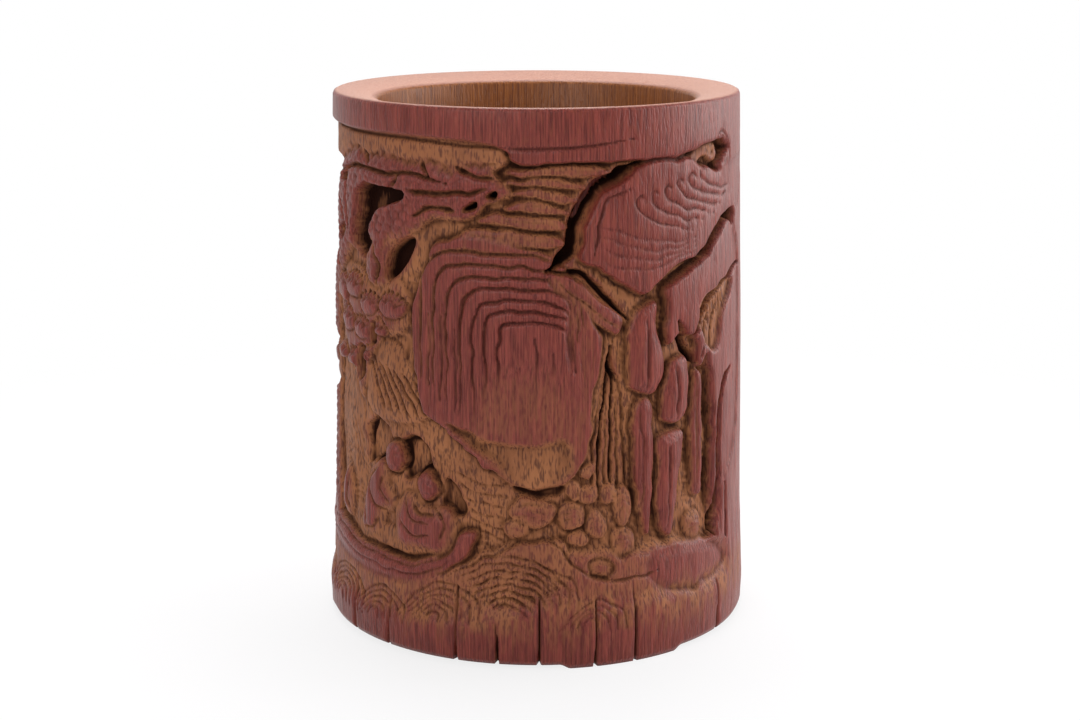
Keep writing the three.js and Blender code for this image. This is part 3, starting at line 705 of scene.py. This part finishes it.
section = wall_section()
bm = bmesh.new()
bmesh.ops.create_grid(bm, x_segments=chart_columns, y_segments=len(section), size=1)
for corner in bm.verts:
    column = round((corner.co.x + 1) / 2 * chart_columns) % chart_columns
    r, z = section[round((corner.co.y + 1) / 2 * len(section)) % len(section)]
    turn = math.tau * column / chart_columns
    corner.co = (r * math.sin(turn) * MM, -r * math.cos(turn) * MM, z * MM)
merge_distance = 0.01 * MM
bmesh.ops.remove_doubles(bm, verts=bm.verts, dist=merge_distance)
bmesh.ops.recalc_face_normals(bm, faces=bm.faces)
carved = bpy.data.meshes.new("culm_wall_fine")
bm.to_mesh(carved)
bm.free()

places, radius, angle = measured(carved)
height = places[:, 2]
outside = radius > skin_radius(height) - 0.01
radius_now = radius - np.where(outside, read_chart(depth, angle, height), 0)
foot_pitch, arch_run, raised_part = 120, 3, 8
from_foot = (angle - first_foot + foot_pitch / 2) % foot_pitch - foot_pitch / 2
off_foot = np.abs(from_foot) - foot_span / 2
arch = foot_arch_rise * eased(off_foot / arch_run)
low_part = (height < raised_part) & (radius > rebate_radius - 0.1)
height_now = np.where(low_part, arch + height * (raised_part - arch) / raised_part, height)
scale = radius_now / radius
places = np.column_stack([places[:, 0] * scale, places[:, 1] * scale, height_now]) * MM
carved.vertices.foreach_set("co", places.ravel())
carved.update()

wall_triangles = 190000
fine_wall = bpy.data.objects.new("culm_wall_fine", carved)
bpy.context.collection.objects.link(fine_wall)
thin = fine_wall.modifiers.new("thin", "DECIMATE")
thin.ratio = wall_triangles / (2 * len(carved.polygons))
thin.use_collapse_triangulate = True
evaluated = fine_wall.evaluated_get(bpy.context.evaluated_depsgraph_get())
wall_mesh = bpy.data.meshes.new_from_object(evaluated)
wall_mesh.name = "carved_wall"
bpy.data.objects.remove(fine_wall)
bpy.data.meshes.remove(carved)
wall = bpy.data.objects.new("carved_wall", wall_mesh)
bpy.context.collection.objects.link(wall)
wall_mesh.shade_smooth()

places, radius, angle = measured(wall_mesh)
height = places[:, 2]
carved_from, bore_limit, rim_top_from = 49.5, 46.2, 147.2
on_carving = (radius > carved_from) & (height > 0.2) & (height < pot_height - rim_slope)
inside_bore = eased((bore_limit - radius) / 1.0)
inside_skin = eased((skin_radius(height) - 0.5 - radius) / 0.6)
# The rim top share paints the paler rim colour: end grain, together with a painted highlight.
rim_top = inside_skin * eased((height - rim_top_from) / 0.5)
for name, values in (("patina", np.where(on_carving, read_chart(patina_map, angle, height), 1.0)),
                     ("hollow", np.where(on_carving, read_chart(hollow_map, angle, height), 0.0)),
                     ("bore", inside_bore), ("rim_top", rim_top * (1 - inside_bore))):
    attribute = wall_mesh.attributes.new(name, "FLOAT", "POINT")
    attribute.data.foreach_set("value", values.astype(np.float32))

# Bamboo, carved and handled
# Old bamboo skin polishes to a dark red brown with fine upright fibres. Where the carver cut below
# it the wood is tan, the pores show as short upright dashes, and dirt and painted shade darken the
# cuts, most where they are deep. The rim top is paler, partly its end grain and partly a painted
# highlight. Fibres and pores are drawn coarser than real ones, so that they show.


def linear(colour):
    """An sRGB hex colour as linear red, green, blue and alpha."""
    channels = [int(colour[i:i + 2], 16) / 255 for i in (1, 3, 5)]
    return tuple(c / 12.92 if c <= 0.04045 else ((c + 0.055) / 1.055) ** 2.4
                 for c in channels) + (1.0,)


def add_node(material, kind, settings=None, inputs=None):
    """Adds a node with its settings, and with values or links for its inputs."""
    node = material.node_tree.nodes.new(kind)
    for key, value in (settings or {}).items():
        setattr(node, key, value)
    for key, value in (inputs or {}).items():
        if isinstance(value, bpy.types.NodeSocket):
            material.node_tree.links.new(value, node.inputs[key])
        else:
            node.inputs[key].default_value = value
    return node


def new_material(name):
    """A node material with nothing in it yet."""
    material = bpy.data.materials.new(name)
    material.use_nodes = True
    material.node_tree.nodes.clear()
    return material


bamboo = new_material("carved_bamboo")
place = add_node(bamboo, "ShaderNodeTexCoord").outputs["Object"]
fibre_size, pore_size, blotch_size = (0.45 * MM, 14 * MM), (0.55 * MM, 2.6 * MM), (9 * MM, 16 * MM)
patterns = []
for (width, length), detail, coarseness in ((fibre_size, 3.0, 0.6), (pore_size, 1.0, 0.5),
                                            (blotch_size, 4.0, 0.5)):
    space = add_node(bamboo, "ShaderNodeMapping", None,
                     {"Vector": place, "Scale": (1 / width, 1 / width, 1 / length)}).outputs[0]
    patterns.append(add_node(bamboo, "ShaderNodeTexNoise", None,
                             {"Vector": space, "Scale": 1.0, "Detail": detail,
                              "Roughness": coarseness}).outputs["Fac"])
fibre, pore, blotch = patterns
patina, hollow, bore, rim_top_share = (
    add_node(bamboo, "ShaderNodeAttribute", {"attribute_name": name}).outputs["Fac"]
    for name in ("patina", "hollow", "bore", "rim_top"))
skin_dark, skin_light = linear("#591e18"), linear("#883d33")
ground_tan, ground_deep = linear("#b07348"), linear("#76442b")
bore_tan, bore_brown = linear("#a0602f"), linear("#6e3a19")
# The rim top is paler, partly from its end grain and partly from a painted highlight of the lamp
# overhead.
rim_brown, rim_tan = linear("#a8705c"), linear("#c18d76")
# The crevice colour is a near-black brown that paints shade and dirt into the cuts and deep holes.
pore_brown, crevice_shade_and_dirt = linear("#45271a"), linear("#24110b")
pore_darkness, pore_height = 0.75, -0.6
shade_and_dirt_strength, dirt_roughness = 0.8, 0.35
fibre_line = add_node(bamboo, "ShaderNodeMapRange", None,
                      {"Value": fibre, "From Min": 0.35, "From Max": 0.65}).outputs["Result"]
skin, bore_colour, rim_grain_and_highlight = (
    add_node(bamboo, "ShaderNodeMix", {"data_type": "RGBA"},
             {0: fibre_line, 6: dark, 7: light}).outputs[2]
    for dark, light in ((skin_dark, skin_light), (bore_brown, bore_tan), (rim_brown, rim_tan)))
pore_dash = add_node(bamboo, "ShaderNodeMapRange", None,
                     {"Value": pore, "From Min": 0.50, "From Max": 0.64}).outputs["Result"]
pore_share = add_node(bamboo, "ShaderNodeMath", {"operation": "MULTIPLY"},
                      {0: pore_dash, 1: pore_darkness}).outputs[0]
worn = add_node(bamboo, "ShaderNodeMath", {"operation": "MULTIPLY_ADD"},
                {0: pore, 1: 0.5, 2: -0.25}).outputs[0]
skin_share = add_node(bamboo, "ShaderNodeMath", {"operation": "ADD", "use_clamp": True},
                      {0: patina, 1: worn}).outputs[0]
# This share paints shade and dirt into the cuts. It darkens them and makes them rougher and less
# glossy.
shade_and_dirt = add_node(bamboo, "ShaderNodeMath", {"operation": "MULTIPLY", "use_clamp": True},
                {0: hollow, 1: shade_and_dirt_strength}).outputs[0]
colour = ground_tan
for share, layer in ((blotch, ground_deep), (pore_share, pore_brown), (skin_share, skin),
                     (bore, bore_colour), (rim_top_share, rim_grain_and_highlight), (shade_and_dirt, crevice_shade_and_dirt)):
    colour = add_node(bamboo, "ShaderNodeMix", {"data_type": "RGBA"},
                      {0: share, 6: colour, 7: layer}).outputs[2]
roughness = add_node(bamboo, "ShaderNodeMapRange", None,
                     {"Value": skin_share, "To Min": 0.62, "To Max": 0.36}).outputs["Result"]
roughness = add_node(bamboo, "ShaderNodeMath", {"operation": "MULTIPLY_ADD", "use_clamp": True},
                     {0: shade_and_dirt, 1: dirt_roughness, 2: roughness}).outputs[0]
gloss = add_node(bamboo, "ShaderNodeMapRange", None,
                 {"Value": shade_and_dirt, "To Min": 0.25, "To Max": 0.05}).outputs["Result"]
relief = add_node(bamboo, "ShaderNodeMath", {"operation": "MULTIPLY_ADD"},
                  {0: pore_dash, 1: pore_height, 2: fibre}).outputs[0]
bump = add_node(bamboo, "ShaderNodeBump", None,
                {"Strength": 0.5, "Distance": 0.2 * MM, "Height": relief}).outputs["Normal"]
surface = add_node(bamboo, "ShaderNodeBsdfPrincipled", None,
                   {"Base Color": colour, "Roughness": roughness, "Normal": bump, "IOR": 1.5,
                    "Specular IOR Level": gloss})
add_node(bamboo, "ShaderNodeOutputMaterial", None, {"Surface": surface.outputs[0]})
wall_mesh.materials.clear()
wall_mesh.materials.append(bamboo)
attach(wall, "root")
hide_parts("carved_culm_wall")

# Floor disc
# A disc of dark hardwood let into the foot from below and glued. Turned and waxed, it shows long
# straight grain across its face.
hardwood = new_material("waxed_hardwood")
place = add_node(hardwood, "ShaderNodeTexCoord").outputs["Object"]
grain_width, grain_length = 0.8 * MM, 22 * MM
grain_space = add_node(hardwood, "ShaderNodeMapping", None,
                       {"Vector": place,
                        "Scale": (1 / grain_width, 1 / grain_length, 1 / grain_width)}).outputs[0]
grain = add_node(hardwood, "ShaderNodeTexNoise", None,
                 {"Vector": grain_space, "Scale": 1.0, "Detail": 4.0,
                  "Distortion": 0.4}).outputs["Fac"]
grain_colour = add_node(hardwood, "ShaderNodeValToRGB", None, {"Fac": grain})
grain_stops = grain_colour.color_ramp.elements
grain_stops[0].position, grain_stops[1].position = 0.3, 0.7
grain_stops[0].color, grain_stops[1].color = linear("#3a1d13"), linear("#6a3d26")
bump = add_node(hardwood, "ShaderNodeBump", None,
                {"Strength": 0.3, "Distance": 0.1 * MM, "Height": grain}).outputs[0]
surface = add_node(hardwood, "ShaderNodeBsdfPrincipled", None,
                   {"Base Color": grain_colour.outputs["Color"], "Roughness": 0.45, "Normal": bump,
                    "IOR": 1.5})
add_node(hardwood, "ShaderNodeOutputMaterial", None, {"Surface": surface.outputs[0]})
floor_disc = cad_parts["floor_disc"]
floor_disc.data.materials.clear()
floor_disc.data.materials.append(hardwood)

# Studio
# A plain pale floor that runs off to white, with broad soft lamps at the right, behind the right
# side and at the front left, and the strongest one overhead, which lights the rim.
bm = bmesh.new()
bmesh.ops.create_grid(bm, x_segments=1, y_segments=1, size=4)
ground_mesh = bpy.data.meshes.new("studio_floor")
bm.to_mesh(ground_mesh)
bm.free()
studio_floor = bpy.data.objects.new("studio_floor", ground_mesh)
bpy.context.collection.objects.link(studio_floor)
paper = new_material("white_paper")
place = add_node(paper, "ShaderNodeTexCoord").outputs["Object"]
from_pot = add_node(paper, "ShaderNodeVectorMath", {"operation": "LENGTH"},
                    {0: place}).outputs["Value"]
run_off = add_node(paper, "ShaderNodeMapRange", None,
                   {"Value": from_pot, "From Min": 0.10, "From Max": 0.34,
                    "To Min": 0.8}).outputs["Result"]
paper_path = add_node(paper, "ShaderNodeLightPath")
eye = paper_path.outputs["Is Camera Ray"]
for ray in ("Is Glossy Ray", "Is Transmission Ray"):
    eye = add_node(paper, "ShaderNodeMath", {"operation": "MAXIMUM"},
                   {0: eye, 1: paper_path.outputs[ray]}).outputs[0]
white_share = add_node(paper, "ShaderNodeMath", {"operation": "MULTIPLY"},
                       {0: run_off, 1: eye}).outputs[0]
sheet = add_node(paper, "ShaderNodeBsdfDiffuse", None, {"Color": linear("#f7f5f8")}).outputs[0]
bright = add_node(paper, "ShaderNodeEmission", None,
                  {"Color": (1, 1, 1, 1), "Strength": 1.0}).outputs[0]
blend = add_node(paper, "ShaderNodeMixShader", None,
                 {0: white_share, 1: sheet, 2: bright}).outputs[0]
add_node(paper, "ShaderNodeOutputMaterial", None, {"Surface": blend})
ground_mesh.materials.append(paper)
aim = np.array([0, 0, 0.07])
for name, location, size, watts in (("key", (0.98, -0.12, 0.4), 0.7, 4.6),
                                    ("edge", (0.8, 0.32, 0.28), 0.6, 4.0),
                                    ("fill", (-0.5, -0.95, 0.6), 0.7, 5.2),
                                    ("top", (0.0, 0.3, 0.9), 0.6, 8)):
    lamp = bpy.data.lights.new(name, "AREA")
    lamp.size, lamp.energy = size, watts
    holder = bpy.data.objects.new(name, lamp)
    holder.location = location
    direction = aim - np.array(location)
    flat = math.hypot(direction[0], direction[1])
    holder.rotation_euler = (math.atan2(flat, -direction[2]), 0,
                             math.atan2(-direction[0], direction[1]))
    bpy.context.collection.objects.link(holder)
world = bpy.data.worlds.new("studio")
bpy.context.scene.world = world
world.use_nodes = True
world.node_tree.nodes.clear()
light_path = add_node(world, "ShaderNodeLightPath")
seen = light_path.outputs["Is Camera Ray"]
for ray in ("Is Glossy Ray", "Is Transmission Ray"):
    seen = add_node(world, "ShaderNodeMath", {"operation": "MAXIMUM"},
                    {0: seen, 1: light_path.outputs[ray]}).outputs[0]
strength = add_node(world, "ShaderNodeMapRange", None,
                    {"Value": seen, "To Min": 0.2, "To Max": 1.0}).outputs[0]
backdrop = add_node(world, "ShaderNodeBackground", None,
                    {"Color": (1, 1, 1, 1), "Strength": strength})
add_node(world, "ShaderNodeOutputWorld", None, {"Surface": backdrop.outputs[0]})
